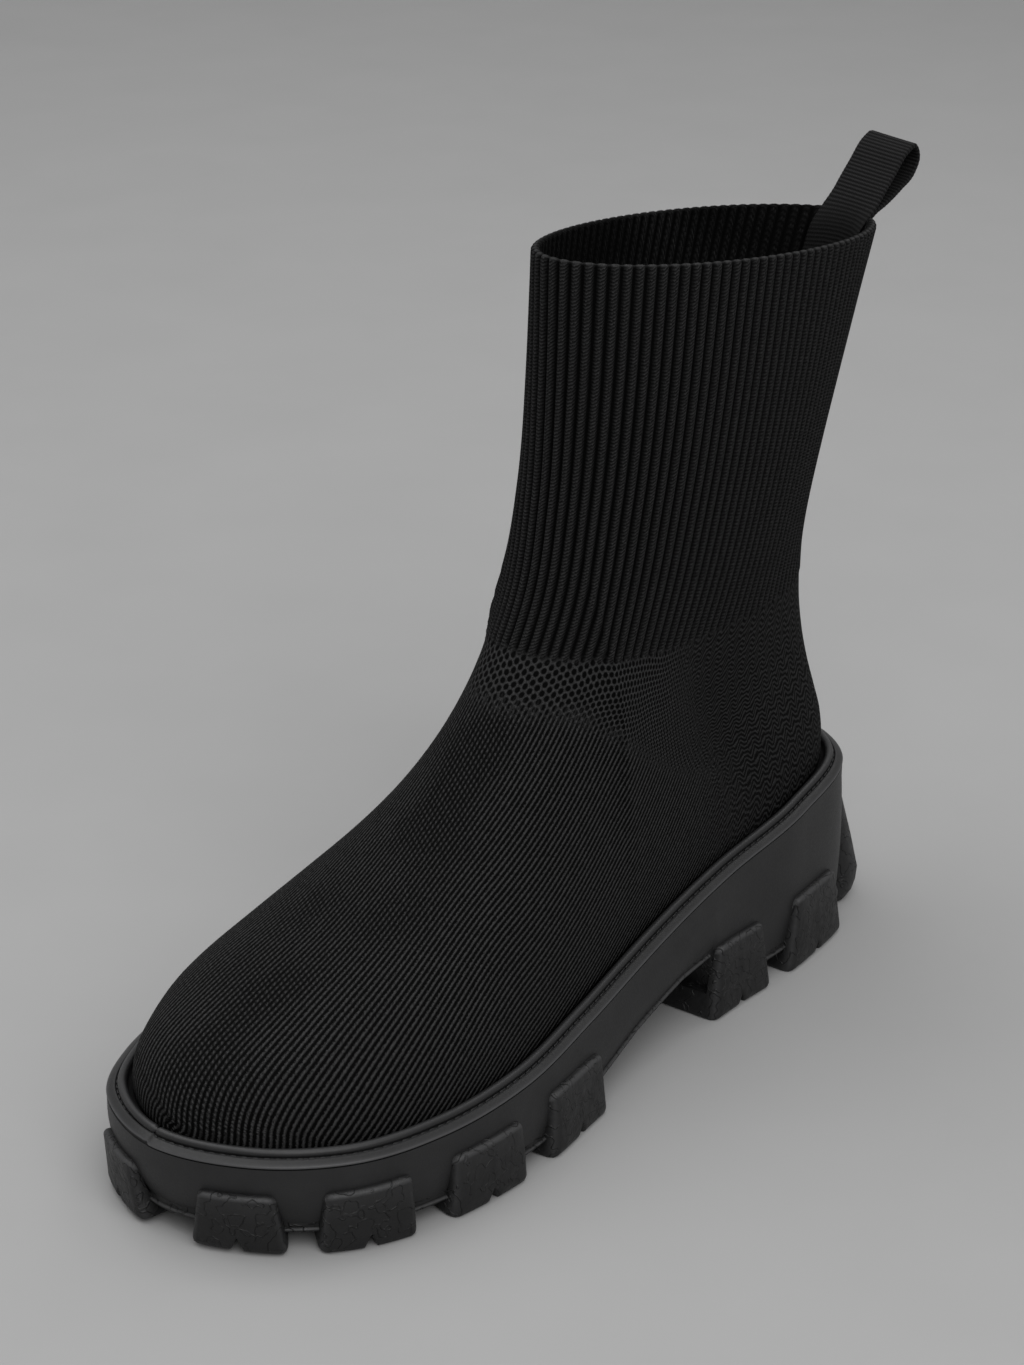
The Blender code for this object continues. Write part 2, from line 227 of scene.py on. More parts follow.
# Underside between the lugs: station, distance from the heel, height, undercut of the side wall
UNDERSIDE = [
    ("heel_back", -4.0, 7.0, 0.0),
    ("heel", 60.0, 7.0, 0.0),
    ("breast_foot", 86.5, 7.0, 0.0),
    ("breast_top", 89.5, 20.5, 0.0),
    ("arch", 104.0, 19.5, 0.0),
    ("waist", 130.0, 14.3, 0.0),
    ("joint", 152.0, 8.2, 0.0),
    ("ball", 176.0, 5.2, 0.0),
    ("toes", 225.0, 5.2, 1.0),
    ("toe_side", 255.0, 5.8, 2.8),
    ("toe_tip", 277.0, 7.2, 4.5),
]

# Toe spring of the lugs: distance from the heel, lift of the foot of a lug
SPRING = [
    ("flat_end", 232.0, 0.0),
    ("toe_side", 255.0, 0.6),
    ("toe_tip", 281.0, 2.0),
]

# Rings of the upper from the sole to the collar: share of the way up, front and back point in side view,
# share of the shaft's oval in the ring, half width of that oval
RINGS = [
    ("edge", 0.00, 269.0, 27.5, 4.0, 55.6, 0.00, 30.0),
    ("wall", 0.06, 268.5, 36.0, 4.2, 63.0, 0.00, 30.0),
    ("toe_top", 0.16, 259.5, 47.5, 6.0, 72.0, 0.00, 30.0),
    ("toe_back", 0.26, 236.0, 57.0, 9.5, 81.0, 0.00, 30.0),
    ("vamp", 0.36, 205.0, 68.5, 13.0, 91.0, 0.05, 30.0),
    ("throat", 0.46, 172.5, 87.5, 15.5, 102.0, 0.15, 30.0),
    ("instep", 0.56, 147.5, 109.5, 16.0, 115.0, 0.40, 30.0),
    ("rib_edge", 0.66, 131.5, 134.0, 14.0, 133.0, 0.75, 30.0),
    ("shin", 0.78, 124.5, 163.0, 6.0, 158.0, 0.95, 30.0),
    ("calf", 0.90, 122.0, 197.0, -6.5, 190.0, 1.00, 30.0),
    ("collar", 1.00, 121.5, 231.0, -18.0, 215.5, 1.00, 29.5),
]

# Lugs: name, sides, middle along the platform's edge from the heel, length at the foot and at the top,
# height, how far the face stands out at the top and low down, rounding of the face towards the floor
LUGS = [
    ("heel_back_lug", "back", 0.0, 50.0, 38.0, 36.0, 4.9, 10.2, 6.5),
    ("heel_side_lug", "pair", 55.6, 35.5, 24.0, 23.0, 2.2, 4.0, 1.6),
    ("breast_lug", "pair", 96.8, 30.5, 22.0, 23.0, 2.2, 4.0, 1.6),
    ("joint_lug", "pair", 186.8, 31.0, 27.0, 19.5, 2.2, 4.0, 1.6),
    ("ball_lug", "pair", 227.2, 29.0, 26.0, 18.5, 2.2, 4.0, 1.6),
    ("toe_side_lug", "pair", 265.8, 28.0, 24.5, 18.5, 2.2, 4.0, 1.6),
    ("toe_lug", "outer", 301.0, 28.0, 20.5, 18.5, 2.2, 4.0, 1.6),
    ("inner_toe_lug", "inner", 308.0, 28.0, 20.5, 18.5, 2.2, 4.0, 1.6),
]

# Bead of the welt: middle out from the upper's edge and up, radius, turns of its round; its painted
# highlight's turn, strength, sharpness
BEAD_OUT = 2.75
BEAD_UP = 1.6
BEAD_RADIUS = 1.3
BEAD_TURNS = np.radians(np.linspace(195, -42, 16))
BEAD_HIGHLIGHT_TURN = math.radians(70.0)
BEAD_HIGHLIGHT = 0.4
BEAD_HIGHLIGHT_POWER = 6

# Rest of the welt's section, from the bead's foot round to its inner side
STRIP = [
    ("groove_foot", 3.85, 0.62),
    ("groove", 4.15, 0.46),
    ("groove_out", 4.45, 0.62),
    ("ledge_rise", 4.6, 1.0),
    ("ledge_round", 4.85, 1.18),
    ("ledge", 5.3, 1.02),
    ("ledge_middle", 6.0, 0.68),
    ("ledge_low", 6.6, 0.32),
    ("ledge_turn", 6.85, 0.12),
    ("lip_top", 7.02, -0.05),
    ("lip", 7.12, -0.3),
    ("lip_low", 7.04, -0.55),
    ("undercut", 6.75, -0.75),
    ("notch_top", 5.3, -0.85),
    ("notch_foot", 5.3, -5.2),
    ("inner_foot", -1.8, -5.2),
    ("inner_top", -1.8, -0.35),
    ("corner", 0.8, -0.35),
]

# Painted highlight on the rows of the welt's section that catch the light
STRIP_HIGHLIGHT = {"ledge_round": 0.25, "ledge_low": 0.2, "ledge_turn": 0.5, "lip_top": 0.9, "lip": 1.0}

# Rim of the platform inside the welt's lip: drop from the upper's edge, how far out its inner side is
RIM_DROP = 0.95
RIM_IN = 5.6

# Lip of the tread plate: share of its reach, height over the plate's foot
PLATE_LIPS = [
    ("foot", 0.0, 0.0),
    ("foot_round", 0.7, 0.12),
    ("crown", 1.0, 0.5),
    ("top_round", 0.8, 0.9),
    ("wall", 0.0, 1.2),
]

# Footbed: distance in from the knit, height over the upper's edge
FOOTBED = [
    ("foot", 0.0, -STRIP_DROP),
    ("rim", 0.0, 2.6),
    ("cup", 1.2, 2.2),
    ("bed", 4.0, 1.0),
]

# Stitch from end to end: share of its length, share of its radius
STITCH_SECTION = [(0.0, 0.35), (0.12, 0.8), (0.3, 1.0), (0.7, 1.0), (0.88, 0.8), (1.0, 0.35)]

# Webbing from its middle to its edge: share of its half width, share of its thickness
WEB_SECTION = [(0.0, 0.96), (0.5, 0.97), (0.94, 1.0), (0.985, 0.8), (1.0, 0.35)]

# Middle line of the webbing in side view: along from the heel, up
LOOP = [
    ("front_end", -1.4, 190.0),
    ("front_low", -7.0, 203.0),
    ("front_mouth", -12.0, 213.4),
    ("front_rise", -17.2, 219.9),
    ("front_top", -25.4, 227.9),
    ("turn_front", -32.2, 233.8),
    ("turn", -35.9, 234.9),
    ("turn_back", -38.0, 231.2),
    ("back_top", -35.6, 226.6),
    ("back_rise", -29.2, 223.1),
    ("back_mouth", -22.4, 220.0),
    ("back_over", -17.4, 217.9),
    ("back_bend", -14.2, 213.6),
    ("back_low", -8.8, 203.0),
    ("back_end", -3.1, 190.0),
]

# Borders of the knit: place, share of the way from heel to front, ring of the ribs' edge, ring under the mesh
BORDERS = [
    ("heel_back", 0.0, 0.585, 0.20),
    ("heel_side", 0.225, 0.585, 0.20),
    ("ankle_back", 0.41, 0.590, 0.34),
    ("ankle", 0.64, 0.597, 0.475),
    ("ankle_front", 0.83, 0.610, 0.55),
    ("instep", 1.0, 0.617, 0.568),
]

# Front border of the heel's zigzag knit: ring, share of the way from heel to front
ZIGZAG = [
    ("edge", 0.0, 0.265),
    ("heel", 0.065, 0.278),
    ("quarter", 0.29, 0.343),
    ("ankle", 0.485, 0.508),
    ("rib_edge", 0.58, 0.601),
]

# Section of a rib: share of half a rib from its groove, height, brightness there, with painted shade in the
# groove
RIB = [
    ("groove", 0.0, -1.0, 0.0),
    ("groove_side", 0.25, -0.8, 0.0),
    ("wall", 0.5, 0.1, 0.7),
    ("shoulder", 0.75, 0.3, 1.0),
    ("crest", 1.0, 0.34, 0.8),
]


def column(table, place):
    return np.array([row[place] for row in table], float)


def smooth(xs, ys, at):
    """Cubic curve through the points of a table, read at the given places."""
    xs = np.asarray(xs, float)
    ys = np.asarray(ys, float)
    at = np.clip(np.asarray(at, float), xs[0], xs[-1])
    slope = np.gradient(ys, xs, axis=0)
    k = np.clip(np.searchsorted(xs, at, side="right") - 1, 0, len(xs) - 2)
    h = xs[k + 1] - xs[k]
    t = (at - xs[k]) / h
    if ys.ndim > 1:
        t = t[..., None]
        h = h[..., None]
    near = (1 + 2 * t) * (1 - t) ** 2 * ys[k] + t * (1 - t) ** 2 * h * slope[k]
    far = t * t * (3 - 2 * t) * ys[k + 1] + t * t * (t - 1) * h * slope[k + 1]
    return near + far


def ease(value):
    """Soft step from 0 to 1."""
    value = np.clip(value, 0, 1)
    return value * value * (3 - 2 * value)


def distances(points):
    """Length along a line of points, from its first one."""
    return np.r_[0, np.cumsum(np.linalg.norm(np.diff(points, axis=0), axis=1))]


def even_line(points, count):
    """A line of points spread evenly along another."""
    along = distances(points)
    at = np.linspace(0, along[-1], count)
    return np.stack([np.interp(at, along, points[:, axis]) for axis in range(points.shape[1])], axis=1)


def plan_loop():
    """Knots and points of the closed curve through the plan's stations, lapped at its ends."""
    x, lateral, medial = column(PLAN, 1), column(PLAN, 2), column(PLAN, 3)
    mean = (lateral + medial) / 2
    knots = np.r_[0, np.cumsum(np.hypot(np.diff(x), np.diff(mean)) ** 0.75)]
    total = 2 * knots[-1]
    loop_knots = np.r_[knots[:-1], total - knots[::-1][:-1]]
    loop_points = np.r_[np.c_[x, lateral][:-1], np.c_[x, -medial][::-1][:-1]]
    lapped_knots = np.r_[loop_knots[-3:] - total, loop_knots, loop_knots[:4] + total]
    lapped_points = np.r_[loop_points[-3:], loop_points, loop_points[:4]]
    return lapped_knots, lapped_points, knots[-1]


def half_plan(steps, stops=()):
    """Lateral and medial edge of the upper from heel to toe, in pairs that share their x."""
    knots, points, half = plan_loop()
    fine = np.linspace(0, half, 2001)
    lateral = smooth(knots, points, fine)
    medial = smooth(knots, points, 2 * half - fine)
    middle = (lateral + medial * [1, -1]) / 2
    along = distances(middle)
    at = np.interp(np.linspace(0, along[-1], steps + 1), along, fine)
    for stop in stops:
        place = np.interp(stop, lateral[:, 0], fine)
        at[np.argmin(np.abs(at[1:-1] - place)) + 1] = place
    return smooth(knots, points, at), smooth(knots, points, 2 * half - at)


def outward(points):
    """Unit normals of a closed plan, pointing out."""
    along = np.roll(points, -1, axis=0) - np.roll(points, 1, axis=0)
    along /= np.linalg.norm(along, axis=1)[:, None]
    return np.c_[-along[:, 1], along[:, 0]]


def closed_plan(steps, stops=()):
    """Edge of the upper as one closed loop: heel, lateral side, toe, medial side; and its normals."""
    lateral, medial = half_plan(steps, stops)
    loop = np.r_[lateral, medial[::-1][1:-1]]
    return loop, outward(loop)


def edge_height(x):
    return smooth(column(PITCH, 1), column(PITCH, 2), x)


def underside_height(x):
    return np.interp(x, column(UNDERSIDE, 1), column(UNDERSIDE, 2))


def undercut(x):
    return np.interp(x, column(UNDERSIDE, 1), column(UNDERSIDE, 3))


def wall_reach(x, up):
    """How far the platform's side wall stands out, at a share of its height."""
    return REACH - undercut(x) * (1 - up) + BELLY * 4 * up * (1 - up)


FINE_LATERAL, FINE_MEDIAL = half_plan(600)
RING_UPS = column(RINGS, 1)
FRONT = np.c_[column(RINGS, 2), column(RINGS, 3)]
BACK = np.c_[column(RINGS, 4), column(RINGS, 5)]
OVAL = np.c_[column(RINGS, 6), column(RINGS, 7)]
CREST = smooth(RING_UPS, FRONT, np.linspace(0, 1, 801))[::-1]


def crown(x):
    """Powers that round the top of the foot: fuller at the toe, steeper at the instep."""
    toe = np.clip((x - 120.0) / 110.0, 0, 1)
    return 1.7 + 0.7 * toe, 1.8 + 0.5 * toe


def upper_halves(up, steps):
    """Lateral and medial half of one ring of the upper, from heel to front."""
    front = smooth(RING_UPS, FRONT, up)
    back = smooth(RING_UPS, BACK, up)
    share, half = smooth(RING_UPS, OVAL, up)
    share = np.clip(share, 0, 1)
    along = (1 - np.cos(np.linspace(0, np.pi, steps + 1))) / 2
    x = back[0] + (front[0] - back[0]) * along
    foot_x = BACK[0, 0] + (FRONT[0, 0] - BACK[0, 0]) * along
    sag = edge_height(foot_x) - (BACK[0, 1] + (FRONT[0, 1] - BACK[0, 1]) * along)
    sag -= sag[0] * (1 - along) + sag[-1] * along
    z = back[1] + (front[1] - back[1]) * along + sag * np.clip(1 - up / 0.4, 0, 1) ** 1.5
    over = z - edge_height(x)
    crest = np.interp(x, CREST[:, 0], CREST[:, 1]) - edge_height(x)
    rise = np.clip(over / np.maximum(crest, 1.0), 0, 1) if up > 0 else np.zeros(len(x))
    rise_power, close_power = crown(x)
    closing = (1 - rise**rise_power) ** (1 / close_power)
    closing *= 1 + 0.03 * np.clip(over / 18.0, 0, 1) * (1 - up)
    shifted = x - (back[0] - BACK[0, 0]) * (1 - along)
    oval = half * np.sqrt(np.clip(1 - (2 * along - 1) ** 2, 0, 1))
    lateral = (1 - share) * np.interp(shifted, FINE_LATERAL[:, 0], FINE_LATERAL[:, 1]) * closing
    medial = (1 - share) * np.interp(shifted, FINE_MEDIAL[:, 0], -FINE_MEDIAL[:, 1]) * closing
    lateral_side = np.c_[x, lateral + share * oval, z]
    medial_side = np.c_[x, -medial - share * oval, z]
    tip = (lateral_side[-1] + medial_side[-1]) / 2
    lateral_side[-1] = tip
    medial_side[-1] = tip
    return lateral_side, medial_side


def even_ring(up):
    """One closed ring of the upper with the same number of even steps on each half."""
    lateral, medial = upper_halves(up, 240)
    return np.r_[even_line(lateral, HALF + 1), even_line(medial, HALF + 1)[::-1][1:-1]]


def grid_normals(grid):
    across = np.roll(grid, -1, axis=1) - np.roll(grid, 1, axis=1)
    rising = np.gradient(grid, axis=0)
    normal = np.cross(rising, across)
    return normal / np.maximum(np.linalg.norm(normal, axis=2), 1e-9)[..., None]


def quads(rows, around, closed_rows=False, first=0):
    """Faces between neighbouring closed rings."""
    row = np.arange(rows if closed_rows else rows - 1)[:, None]
    k = np.arange(around)[None, :]
    after = (row + 1) % rows
    turn = (k + 1) % around
    corners = (row * around + k, row * around + turn, after * around + turn, after * around + k)
    return (first + np.stack(np.broadcast_arrays(*corners), axis=-1).reshape(-1, 4)).tolist()


def rungs(first, around):
    """Faces across a closed loop, between its lateral and medial points."""
    faces = []
    for k in range(around // 2):
        corners = [k, k + 1, around - k - 1, (around - k) % around]
        faces.append([first + c for c in dict.fromkeys(corners)])
    return faces


def show(obj):
    bpy.context.scene.collection.objects.link(obj)


def new_piece(name, points, faces, material, nodes=()):
    """A smooth mesh in the boot's frame that rides on it and stands for the named solids."""
    mesh = bpy.data.meshes.new(name)
    mesh.from_pydata(((np.asarray(points, float) - ORIGIN) * MM).tolist(), [], faces)
    shape = bmesh.new()
    shape.from_mesh(mesh)
    bmesh.ops.recalc_face_normals(shape, faces=shape.faces)
    shape.to_mesh(mesh)
    shape.free()
    mesh.shade_smooth()
    mesh.materials.append(material)
    obj = bpy.data.objects.new(name, mesh)
    show(obj)
    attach(obj, "root")
    if nodes:
        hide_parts(*nodes)
    return obj


def set_attribute(obj, name, values):
    """Three numbers for each point of a mesh, for its material to read."""
    made = obj.data.attributes.new(name, "FLOAT_VECTOR", "POINT")
    made.data.foreach_set("vector", np.ascontiguousarray(values, np.float32).ravel())


def set_painted_highlights(obj, values):
    """Painted highlight for each point of a rubber piece: how much it lies on an edge that catches the light.
    """
    set_attribute(obj, "edge", np.outer(values, (1.0, 0.0, 0.0)))


class Surface:
    """A material's nodes, with short calls to add to them."""

    def __init__(self, name):
        self.material = bpy.data.materials.new(name)
        self.material.use_nodes = True
        self.nodes = self.material.node_tree.nodes
        self.links = self.material.node_tree.links
        self.shader = self.nodes["Principled BSDF"]

    def put(self, socket, value):
        if isinstance(value, bpy.types.NodeSocket):
            self.links.new(value, socket)
        else:
            socket.default_value = value

    def math(self, operation, first, second=0.0, third=0.0):
        node = self.nodes.new("ShaderNodeMath")
        node.operation = operation
        for socket, value in zip(node.inputs, (first, second, third)):
            self.put(socket, value)
        return node.outputs[0]

    def wave(self, value, pitch):
        """Cosine from 0 to 1 with the given pitch."""
        turned = self.math("MULTIPLY_ADD", value, 2 * math.pi / pitch)
        return self.math("MULTIPLY_ADD", self.math("COSINE", turned), 0.5, 0.5)

    def parts(self, name):
        """The three numbers of a mesh's attribute."""
        read = self.nodes.new("ShaderNodeAttribute")
        read.attribute_name = name
        split = self.nodes.new("ShaderNodeSeparateXYZ")
        self.links.new(read.outputs["Vector"], split.inputs[0])
        return split.outputs[0], split.outputs[1], split.outputs[2]

    def noise(self, pitch, detail, roughness):
        """Noise in the boot's own space with features of about the given size."""
        node = self.nodes.new("ShaderNodeTexNoise")
        place = self.nodes.new("ShaderNodeTexCoord").outputs["Object"]
        self.links.new(place, node.inputs["Vector"])
        node.inputs["Scale"].default_value = 1 / (pitch * MM)
        node.inputs["Detail"].default_value = detail
        node.inputs["Roughness"].default_value = roughness
        return node.outputs["Fac"]

    def spread(self, value, low, high, to_low=0.0, to_high=1.0):
        """A number mapped from one range to another, held at its ends."""
        node = self.nodes.new("ShaderNodeMapRange")
        self.put(node.inputs["Value"], value)
        node.inputs["From Min"].default_value = low
        node.inputs["From Max"].default_value = high
        node.inputs["To Min"].default_value = to_low
        node.inputs["To Max"].default_value = to_high
        return node.outputs["Result"]

    def colours(self, share, dark, light):
        """A colour between two others."""
        node = self.nodes.new("ShaderNodeMix")
        node.data_type = "RGBA"
        self.put(node.inputs["Factor"], share)
        for socket in node.inputs:
            if socket.type == "RGBA" and socket.name == "A":
                socket.default_value = (*dark, 1.0)
            if socket.type == "RGBA" and socket.name == "B":
                socket.default_value = (*light, 1.0)
        return [socket for socket in node.outputs if socket.type == "RGBA"][0]

    def mottle_and_highlight(self, mottle, colour):
        """A mottled colour with a painted highlight where the mesh says that an edge catches the light."""
        edge = self.parts("edge")[0]
        level = self.math("MULTIPLY", mottle, 1 / BRIGHTEST)
        level = self.math("MULTIPLY_ADD", edge, EDGE_HIGHLIGHT / BRIGHTEST, level)
        bright = tuple(BRIGHTEST * c for c in colour)
        self.put(self.shader.inputs["Base Color"], self.colours(level, (0.0, 0.0, 0.0), bright))

    def bump(self, height, depth):
        """A normal from a height of 0 to 1 that stands for the given depth."""
        node = self.nodes.new("ShaderNodeBump")
        node.inputs["Strength"].default_value = 1.0
        node.inputs["Distance"].default_value = depth * MM
        self.put(node.inputs["Height"], height)
        return node.outputs["Normal"]


def knit_material():
    """Matt black yarn: wales on the foot, mesh band at the ankle, zigzag at the heel, ribs on the shaft."""
    s = Surface("knit_yarn")
    across, along, cord = s.parts("wale")
    around, rise, inside = s.parts("ring")
    rib, band, zigzag = s.parts("zone")
    cell, cell_row, rim = s.parts("cell")
    patch, drift, _ = s.parts("blend")
    fuzz = s.noise(0.5, 1.0, 0.6)

    wale = s.spread(s.wave(s.math("MULTIPLY_ADD", fuzz, 0.4, across), 1.0), 0.25, 0.9)
    stitch = s.wave(s.math("MULTIPLY_ADD", across, 0.8, along), KNIT_STITCH)
    near = s.spread(s.math("ABSOLUTE", across), 8.0, 28.0, 1.0, 0.08)
    dotted = s.math("MULTIPLY", s.spread(patch, 0.1, 0.9, 0.3, 0.85), near)
    held = s.math("SUBTRACT", 1.0, s.math("MULTIPLY", dotted, s.math("SUBTRACT", 1.0, stitch)))
    held = s.math("MULTIPLY", held, s.math("MULTIPLY_ADD", dotted, 0.6, 1.0))
    foot = s.math("MULTIPLY", wale, held)

    cell = s.math("MULTIPLY_ADD", drift, 0.3, cell)
    half_cell = s.math("MULTIPLY", cell, 0.5)
    tall_row = s.math("MULTIPLY", s.math("MULTIPLY_ADD", drift, -0.25, cell_row), 0.866)
    holes = s.math("ADD", s.wave(cell, 1.0), s.wave(s.math("ADD", half_cell, tall_row), 1.0))
    holes = s.math("ADD", holes, s.wave(s.math("SUBTRACT", half_cell, tall_row), 1.0))
    mesh = s.spread(holes, 1.0, 1.75, 0.78, 0.0)

    fold = s.math("PINGPONG", s.math("MULTIPLY_ADD", drift, 0.9, around), ZIGZAG_FOLD)
    crossing = s.math("PINGPONG", s.math("MULTIPLY_ADD", rise, CROSS_LEAN, around), CROSS_FOLD)
    fold = s.math("MULTIPLY_ADD", crossing, 0.6, fold)
    chevron = s.wave(s.math("MULTIPLY_ADD", drift, 0.5, s.math("ADD", fold, rise)), ZIGZAG_STRIPE)
    chevron = s.math("MULTIPLY_ADD", s.spread(chevron, 0.25, 0.85), 0.5, 0.03)

    uneven = s.math("MULTIPLY_ADD", fuzz, 0.5, rise)
    loops = s.wave(s.math("MULTIPLY_ADD", cord, 0.7, uneven), RIB_LOOP)
    ribbed = s.math("MULTIPLY", cord, s.math("MULTIPLY_ADD", loops, 0.55, 0.2))
    # Painted highlight on the rolled rim
    ribbed = s.math("MAXIMUM", ribbed, s.math("MULTIPLY", rim, s.spread(cord, 0.0, 0.6, 0.3, 0.8)))
    dots = s.spread(s.math("MULTIPLY", s.wave(rise, LINING_DOT), cord), 0.82, 0.95, 0.0, 0.5)
    lining = s.math("MULTIPLY_ADD", ribbed, 0.42, dots)
    lining = s.math("MULTIPLY", lining, s.spread(patch, 0.2, 0.8, 0.4, 1.1))

    plain = s.math("SUBTRACT", 1.0, s.math("ADD", rib, s.math("ADD", band, zigzag)))
    height = s.math("MULTIPLY", foot, plain)
    height = s.math("MULTIPLY_ADD", mesh, band, height)
    height = s.math("MULTIPLY_ADD", chevron, zigzag, height)
    height = s.math("MULTIPLY_ADD", ribbed, rib, height)
    # Brightness follows the relief: the knit's own pattern, with painted shade in its hollows
    light = s.math("MULTIPLY", height, s.spread(fuzz, 0.3, 0.75, 0.5, 1.3))
    light = s.math("MULTIPLY", light, s.math("SUBTRACT", 1.0, inside))
    light = s.math("MULTIPLY_ADD", lining, inside, light)

    s.put(s.shader.inputs["Base Color"], s.colours(light, *KNIT_COLOURS))
    s.shader.inputs["Roughness"].default_value = 0.85
    s.shader.inputs["Specular IOR Level"].default_value = 0.08
    relief = s.math("MULTIPLY_ADD", fuzz, 0.2, height)
    s.put(s.shader.inputs["Normal"], s.bump(relief, 0.5))
    return s.material


def sole_material(name, colour, roughness, grain_pitch, grain_depth):
    """Dark moulded rubber with a soft sheen, mottled a little, with a fine grain and painted highlights on
    its edges.
    """
    s = Surface(name)
    grain = s.noise(grain_pitch, 3.0, 0.6)
    s.mottle_and_highlight(s.spread(s.noise(11.0, 3.0, 0.55), 0.3, 0.7, 0.82, 1.18), colour)
    s.put(s.shader.inputs["Roughness"], s.spread(grain, 0.25, 0.75, roughness - 0.07, roughness + 0.09))
    s.shader.inputs["Specular IOR Level"].default_value = 0.42
    s.put(s.shader.inputs["Normal"], s.bump(grain, grain_depth))
    return s.material


def lug_material():
    """Rubber of the lugs, with fine wrinkles and winding creases, and painted highlights on its edges."""
    s = Surface("lug_rubber")
    wrinkle = s.noise(2.4, 2.0, 0.55)
    crook = s.math("ABSOLUTE", s.math("SUBTRACT", s.noise(4.0, 1.0, 0.5), 0.5))
    vein = s.spread(crook, 0.0, 0.03, 1.0, 0.0)
    height = s.math("MULTIPLY_ADD", vein, 0.8, s.math("MULTIPLY", wrinkle, 0.8))
    s.mottle_and_highlight(s.spread(s.noise(9.0, 3.0, 0.55), 0.3, 0.7, 0.85, 1.15), LUG_COLOUR)
    s.put(s.shader.inputs["Roughness"], s.spread(wrinkle, 0.3, 0.7, 0.42, 0.58))
    s.shader.inputs["Specular IOR Level"].default_value = 0.34
    s.put(s.shader.inputs["Normal"], s.bump(height, 0.4))
    return s.material


def webbing_material():
    """Grosgrain: a fine yarn over the cross ribs of the mesh."""
    s = Surface("webbing_yarn")
    across, loose, crest = s.parts("weave")
    fuzz = s.noise(0.45, 3.0, 0.6)
    yarn = s.wave(across, 0.62)
    light = s.math("MULTIPLY", s.spread(crest, 0.25, 0.85), s.math("MULTIPLY_ADD", yarn, 0.35, 0.65))
    light = s.math("MULTIPLY", light, s.spread(fuzz, 0.3, 0.75, 0.5, 1.2))
    # Painted shade: the sewn part of the webbing, down inside the shaft, is darker
    light = s.math("MULTIPLY", light, s.spread(loose, 0.0, 1.0, 0.2, 1.0))
    s.put(s.shader.inputs["Base Color"], s.colours(light, *WEB_COLOURS))
    s.shader.inputs["Roughness"].default_value = 0.72
    s.shader.inputs["Specular IOR Level"].default_value = 0.15
    s.put(s.shader.inputs["Normal"], s.bump(s.math("MULTIPLY_ADD", fuzz, 0.4, yarn), 0.10))
    return s.material


def cloth_material():
    """Plain dark cloth of the footbed."""
    s = Surface("footbed_cloth")
    weave = s.noise(0.7, 2.0, 0.5)
    s.put(s.shader.inputs["Base Color"], s.colours(weave, *CLOTH_COLOURS))
    s.shader.inputs["Roughness"].default_value = 0.9
    s.shader.inputs["Specular IOR Level"].default_value = 0.2
    s.put(s.shader.inputs["Normal"], s.bump(weave, 0.2))
    return s.material


def thread_material():
    """Moulded or sewn stitches, a little glossier than what they sit on."""
    s = Surface("stitch_thread")
    twist = s.noise(0.4, 2.0, 0.5)
    s.put(s.shader.inputs["Base Color"], s.colours(twist, *THREAD_COLOURS))
    s.shader.inputs["Roughness"].default_value = 0.55
    s.put(s.shader.inputs["Normal"], s.bump(twist, 0.08))
    return s.material


def soft_noise(points, length, seed):
    """Smooth noise about 0.5: a few waves of about one length, in random directions."""
    draw = np.random.default_rng(seed)
    total = np.zeros(points.shape[:-1])
    for _ in range(NOISE_WAVES):
        way = draw.normal(size=3)
        way *= 2 * np.pi / (length * draw.uniform(0.7, 1.5) * np.linalg.norm(way))
        total += np.sin(points @ way + draw.uniform(0, 2 * np.pi))
    return 0.5 + 0.5 * total / math.sqrt(NOISE_WAVES)


def rib_profile():
    """For each point of a ring: height of the ribs there, and their brightness, with painted shade in the
    grooves.
    """
    turn = np.mod(np.arange(2 * HALF) / RIB_POINTS + 0.5, 1.0)
    from_groove = np.minimum(turn, 1 - turn) * 2
    height = np.interp(from_groove, column(RIB, 1), column(RIB, 2))
    return height, np.interp(from_groove, column(RIB, 1), column(RIB, 3))


def knit_zones(ups, share):
    """Masks of ribs, mesh band and zigzag on a grid of rings and places round them."""
    rib_edge = smooth(column(BORDERS, 1), column(BORDERS, 2), share)
    band_low = smooth(column(BORDERS, 1), column(BORDERS, 3), share)
    zigzag_front = np.interp(ups, column(ZIGZAG, 1), column(ZIGZAG, 2))
    rib = ease((ups[:, None] - rib_edge[None, :]) / RIB_BLUR + 0.5)
    heel = ease((zigzag_front[:, None] - share[None, :]) / HEEL_BLUR + 0.5)
    above = ease((ups[:, None] - band_low[None, :]) / BAND_BLUR + 0.5)
    return rib, (1 - rib) * (1 - heel) * above, (1 - rib) * heel


def cell_field(ups, share, climb):
    """Place of each point in the mesh band: cells round from the front, rows up from the band's foot."""
    size = CELL_FRONT - (CELL_FRONT - CELL_BACK) * ease((0.97 - share) / 0.4)
    step = CELL_GIRTH / HALF / size
    front = len(share) // 2
    round_ = np.cumsum(np.r_[0.0, (step[1:] + step[:-1]) / 2])
    round_ = np.abs(round_ - round_[front])
    foot = smooth(column(BORDERS, 1), column(BORDERS, 3), share)
    low = np.array([np.interp(foot[k], ups, climb[:, k]) for k in range(len(share))])
    rows = (climb - low) / size
    return np.broadcast_to(round_, climb.shape), rows


def wale_field(grid):
    """Distance from the crest line of the foot, and how far along that line, for each point of the grid."""
    crest = even_line(grid[:, HALF], 1200)
    along = distances(crest)
    across = np.empty(grid.shape[:2])
    forward = np.empty(grid.shape[:2])
    for row, points in enumerate(grid):
        apart = np.linalg.norm(points[:, None, :] - crest[None, :, :], axis=2)
        nearest = np.argmin(apart, axis=1)
        across[row] = apart.min(axis=1)
        forward[row] = along[nearest]
    return across, forward


